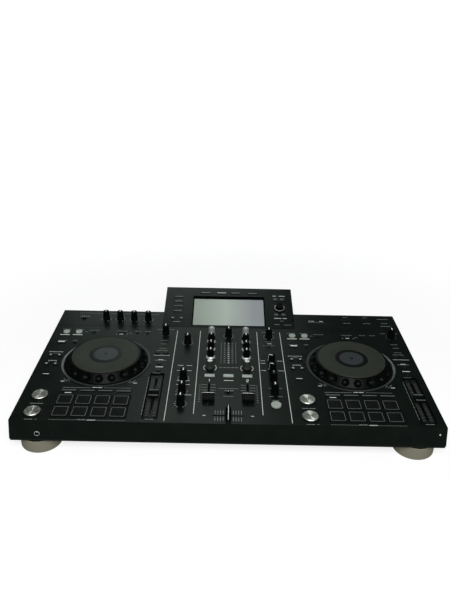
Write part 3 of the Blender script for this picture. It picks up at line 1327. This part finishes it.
class DJ_OT_sockets(PieceOperator, bpy.types.Operator):
    """Make the jacks, phono sockets, data sockets, mains inlet, USB slots and the power rocker"""

    bl_idname = "dj.sockets"
    bl_label = "Sockets"

    def put(self, whole, place, shape, *measures, **options):
        """Shape a part by itself and add it to a mesh at a place."""
        part = bmesh.new()
        shape(part, *measures, **options)
        bmesh.ops.transform(part, matrix=place, verts=part.verts)
        mesh = bpy.data.meshes.new("part")
        part.to_mesh(mesh)
        part.free()
        whole.from_mesh(mesh)
        bpy.data.meshes.remove(mesh)

    def jack(self, name, place, sleeve, bore, nut, stands_for=()):
        """A black sleeve with a bore behind a raised nut."""
        bm = bmesh.new()
        side = [(bore, -20), (bore, 0.7), (bore + 0.6, 1.2), (nut - 0.6, 1.2), (nut, 0.7), (nut, 0.02),
                (sleeve, 0.02), (sleeve, -22), (bore, -22)]
        turned(bm, eased(side, 0.3), 48)
        turned(bm, [(bore, -22), (bore, -20)], 48)
        piece(name, bm, socket_black(), place=place, stands_for=stands_for)

    def jacks(self):
        """Headphone jacks in the fascia, the larger one with a plated ring, and microphone jacks behind."""
        place = on_front(HEADPHONE_X, FRONT_JACK_Z)
        self.jack("headphone_jack", place, 5.9, 3.25, 4.4, ["sockets"])
        ring = [(3.75, 0.2), (3.75, 1.25), (4.0, 1.4), (4.3, 1.35), (4.5, 1.0), (4.5, 0.02), (3.75, 0.02)]
        bm = bmesh.new()
        turned(bm, eased(ring, 0.15), 48, loop=True)
        piece("headphone_jack_ring", bm, plated_abs(), place=place)
        self.jack("mini_headphone_jack", on_front(MINI_JACK_X, FRONT_JACK_Z), 3.6, 1.8, 3.6)
        for i, x in enumerate(MIC_JACK_X):
            self.jack(f"mic_jack_{i + 1}", on_rear(x, CASE_HIGH.y, CASE_SOCKET_Z), 6.0, 3.25, 7.4)

    def phono_sockets(self):
        """Nickel barrels, each with a red or a white insert, in the back of the case and of the housing."""
        barrel = [(3.2, 1), (3.2, 9), (4.15, 9), (4.15, 1.2), (6.2, 1.2), (6.2, 0.02), (3.2, 0.02)]
        insert = [(1.6, 2), (1.6, 8.6), (3.15, 8.6), (3.15, 2)]
        places = [on_rear(x, CASE_HIGH.y, CASE_SOCKET_Z) for x in CASE_PHONO_X]
        places += [on_rear(x, HOUSING_HIGH.y, HOUSING_SOCKET_Z) for x in HOUSING_PHONO_X]
        barrels, white, red = bmesh.new(), bmesh.new(), bmesh.new()
        for i, place in enumerate(places):
            self.put(barrels, place, turned, eased(barrel, 0.35), 40, loop=True)
            self.put(barrels, place, turned, [(4.1, -3), (4.1, 0.02)], 40)
            self.put(white if i % 2 else red, place, turned, eased(insert, 0.3), 40, loop=True)
        piece("phono_barrels", barrels, nickel())
        piece("phono_inserts_white", white, insert_white())
        piece("phono_inserts_red", red, insert_red())

    def rear_sockets(self, black, metal):
        """Mains inlet with its pins, two data sockets with their tongues, and the power rocker's frame."""
        inlet, power, wide, square = [on_rear(x, HOUSING_HIGH.y, HOUSING_SOCKET_Z)
                                      for x in (INLET_X, POWER_X, WIDE_DATA_X, SQUARE_DATA_X)]
        self.put(black, inlet, socket_shell, (27.5, 20), (24.5, 17), 20, 16, front=0.8, corner=2.5)
        for pin in ((-7, 0), (0, 4.5), (7, 0)):
            self.put(metal, inlet, block, pin, (2, 4), -15.3, -3, 0.3, 0.4)
        for place, pocket, depth, tongue_y in ((wide, (11.8, 9.0), 12, 1.5), (square, (8.6, 7.9), 10, 0)):
            outer, tongue = [c + 2 for c in pocket], (pocket[0] * 0.6, 2.2)
            self.put(metal, place, socket_shell, outer, pocket, depth + 2, depth, front=0.4, corner=0.5)
            self.put(black, place, block, (0, tongue_y), tongue, -depth + 0.01, -1.5, 0.3, 0.2)
        self.put(black, power, socket_shell, (14.8, 21.6), (12.8, 19.6), 12, 9, front=0.6, corner=1.0)

    def usb_slots(self, black, metal):
        """USB slots that open upwards in the rear strip, each with its shield and tongue."""
        for x in USB_X:
            place = on_panel(x, USB_Y)
            self.put(black, place, socket_shell, (17, 9.4), (13, 5.4), 18, 13, front=0.3, corner=0.8)
            self.put(metal, place, socket_shell, (13, 5.4), (12.2, 4.6), 11.5, 11, front=-1.4, corner=0.3)
            self.put(black, place, block, (0, 1), (10.6, 1.7), -12.4, -1.5, 0.2, 0.2)

    def power_rocker(self):
        """The power rocker, tipped to one side, with its two marks."""
        name, tip = "power_switch", math.radians(8)
        low, high = box_mm(name)
        place = on_rear(*((low + high) / 2)) @ Matrix.Rotation(tip, 4, "X")
        bm = bmesh.new()
        section = eased([(-9, -2.9), (9, -2.9), (9, 2.2), (0, 1.6), (-9, 2.2), (-9, -2.9)], 0.8)
        loft(bm, [[(x, y, z) for y, z in section[:-1]] for x in (-5.9, 5.9)])
        piece(name, bm, key_black(), name, place, [name])
        bm = bmesh.new()
        stroke(bm, (0, 3.4), (0, 6.4), 0.8, 1.8, 2.35)
        arc_stroke(bm, (0, -5), 1.6, 0, 350, 0.7, 1.7, 2.15)
        piece(f"{name}_marks", bm, print_ink(), name, place)

    def make(self, context):
        self.jacks()
        self.phono_sockets()
        black, metal = bmesh.new(), bmesh.new()
        self.rear_sockets(black, metal)
        self.usb_slots(black, metal)
        piece("socket_bodies", black, socket_black())
        piece("socket_shields", metal, nickel())
        self.power_rocker()


class DJ_OT_feet(PieceOperator, bpy.types.Operator):
    """Make the round metal feet with their rubber soles"""

    bl_idname = "dj.feet"
    bl_label = "Feet"

    def make(self, context):
        low, high = box_mm("feet")
        r, neck, shoulder = 35.5, 28.0, 25.0
        drum = eased([(10, 0.8), (r - 0.8, 0.8), (r, 1.6), (r, shoulder - 0.4), (r - 0.4, shoulder),
                      (10, shoulder)], 0.4)
        stem = eased([(10, shoulder - 0.3), (r - 0.6, shoulder - 0.3), (r - 0.6, shoulder + 0.1),
                      (neck, shoulder + 0.2), (neck, 28.5), (neck + 1, high.z), (10, high.z)], 0.1)
        tread = eased([(5, 0), (r - 2, 0), (r - 1.6, 0.4), (r - 1.6, 1.0), (5, 1.0)], 0.2)
        dark, sole = bmesh.new(), bmesh.new()
        places = [(x, y) for x in (low.x + r, high.x - r) for y in (low.y + r, high.y - r)]
        for i, spot in enumerate(places):
            metal = bmesh.new()
            turned(metal, drum, 96)
            piece(f"foot_{i + 1}", metal, foot_aluminium(), place=at(*spot, 0),
                  stands_for=() if i else ["feet"])
            turned(dark, stem, 96, centre=spot)
            turned(sole, tread, 96, centre=spot)
        piece("foot_necks", dark, socket_black())
        piece("foot_soles", sole, foot_rubber())


class DJ_OT_stage(PieceOperator, bpy.types.Operator):
    """Set the pale floor, the soft light and the camera at the photograph's angle"""

    bl_idname = "dj.stage"
    bl_label = "Stage"

    def floor_paper(self):
        """Seamless paper, matte and nearly white: white to the camera, with the part's soft shadow."""
        material, tree = new_tree("Paper_seamless_white")
        rays = add(tree, "LightPath")
        tone = (*colours().floor, 1.0)
        paper = add(tree, "BsdfDiffuse", values={"Color": tone})
        thin = add(tree, "BsdfDiffuse", values={"Color": (0.3, 0.3, 0.3, 1.0)})
        place = add(tree, "TexCoord").outputs["Object"]
        reach = add(tree, "VectorMath", {0: place}, operation="LENGTH")
        bright = add(tree, "MapRange", {"Value": reach.outputs["Value"]},
                     {"From Min": 0.5, "From Max": 1.6, "To Min": 0.78, "To Max": 1.0})
        glow = add(tree, "Emission", {"Strength": bright.outputs["Result"]})
        shown = add(tree, "AddShader", {0: thin.outputs[0], 1: glow.outputs[0]})
        seen = rays.outputs["Is Camera Ray"]
        mix = add(tree, "MixShader", {0: seen, 1: paper.outputs[0], 2: shown.outputs[0]})
        add(tree, "OutputMaterial", {"Surface": mix.outputs[0]})
        return material

    def lamp(self, name, place, size, power, tone=(1.0, 1.0, 1.0)):
        """A soft box aimed at the part, its place and size in metres."""
        aim = (-0.05, 0, 0.07)
        data = bpy.data.lights.new(name, "AREA")
        data.shape = "RECTANGLE"
        data.size, data.size_y = size
        data.energy = power
        data.color = tone
        obj = bpy.data.objects.new(name, data)
        obj.location = place
        obj.rotation_euler = (Vector(aim) - Vector(place)).to_track_quat("-Z", "Y").to_euler()
        bpy.context.scene.collection.objects.link(obj)

    def camera(self):
        """The camera that took the photograph, worked out from the part's corners in it."""
        yaw, pitch, roll = CAMERA_YAW, CAMERA_PITCH, CAMERA_ROLL
        forward = Vector((math.sin(yaw) * math.cos(pitch), math.cos(yaw) * math.cos(pitch), -math.sin(pitch)))
        right = Vector((math.cos(yaw), -math.sin(yaw), 0))
        up = right.cross(forward)
        across = right * math.cos(roll) + up * math.sin(roll)
        above = up * math.cos(roll) - right * math.sin(roll)
        data = bpy.data.cameras.new("camera")
        data.sensor_fit = "AUTO"
        data.sensor_width = SENSOR
        data.lens = LENS_PIXELS / IMAGE_HEIGHT * SENSOR
        data.clip_start = 0.05
        obj = bpy.data.objects.new("camera", data)
        turn = Matrix((across, above, -forward)).transposed().to_4x4()
        obj.matrix_world = Matrix.Translation(Vector(CAMERA_PLACE) * MM) @ turn
        bpy.context.scene.collection.objects.link(obj)
        bpy.context.scene.camera = obj

    def world(self):
        """A pale even room: white where it is seen, dimmer as light."""
        world = bpy.data.worlds.new("pale_room")
        world.use_nodes = True
        tree = world.node_tree
        tree.nodes.clear()
        rays = add(tree, "LightPath")
        glow = add(tree, "MapRange", {"Value": rays.outputs["Is Camera Ray"]},
                   {"To Min": 0.08, "To Max": 1.0})
        sky = add(tree, "Background", {"Strength": glow.outputs["Result"]}, {"Color": (1, 1, 1, 1)})
        add(tree, "OutputWorld", {"Surface": sky.outputs["Background"]})
        bpy.context.scene.world = world

    def make(self, context):
        bm = bmesh.new()
        loft(bm, [outline(30000, 30000, 3000, (0, 6000), z) for z in (-20.0, 0.0)])
        mesh = bpy.data.meshes.new("floor")
        bm.to_mesh(mesh)
        bm.free()
        mesh.materials.append(self.floor_paper())
        floor = bpy.data.objects.new("floor", mesh)
        context.scene.collection.objects.link(floor)
        tube = (0.88, 1.0, 0.94)
        self.lamp("back_low_box", (-0.25, 1.9, 0.9), (1.2, 0.5), 3, tube)
        self.lamp("back_high_box", (-0.15, 1.4, 1.55), (0.7, 0.5), 5.2, tube)
        self.lamp("front_box", (0.05, -1.5, 1.4), (1.2, 0.8), 36)
        self.camera()
        self.world()
        context.scene.view_settings.view_transform = "Standard"


class DJ_PT_panel(bpy.types.Panel):
    """Sidebar list of the operators and settings"""

    bl_label = "DJ System"
    bl_idname = "DJ_PT_panel"
    bl_space_type = "VIEW_3D"
    bl_region_type = "UI"
    bl_category = "DJ System"

    def draw(self, context):
        for operator in OPERATORS:
            self.layout.operator(operator.bl_idname)
        for group in (context.scene.dj_sizes, context.scene.dj_colours):
            for name in group.__annotations__:
                self.layout.prop(group, name)


OPERATORS = (DJ_OT_case, DJ_OT_display, DJ_OT_jog_wheels, DJ_OT_knobs, DJ_OT_faders, DJ_OT_buttons,
             DJ_OT_pads, DJ_OT_keys, DJ_OT_prints, DJ_OT_level_meter, DJ_OT_sockets, DJ_OT_feet,
             DJ_OT_stage)
CLASSES = (SystemColours, SystemSizes, *OPERATORS, DJ_PT_panel)


def register():
    for cls in CLASSES:
        bpy.utils.register_class(cls)
    bpy.types.Scene.dj_colours = bpy.props.PointerProperty(type=SystemColours)
    bpy.types.Scene.dj_sizes = bpy.props.PointerProperty(type=SystemSizes)


def unregister():
    del bpy.types.Scene.dj_sizes
    del bpy.types.Scene.dj_colours
    for cls in reversed(CLASSES):
        bpy.utils.unregister_class(cls)


def main():
    """Dress the part, piece by piece, and note the CAD box and the dressed box."""
    register()
    for operator in OPERATORS:
        group, name = operator.bl_idname.split(".")
        getattr(getattr(bpy.ops, group), name)()


if __name__ == "__main__":
    main()
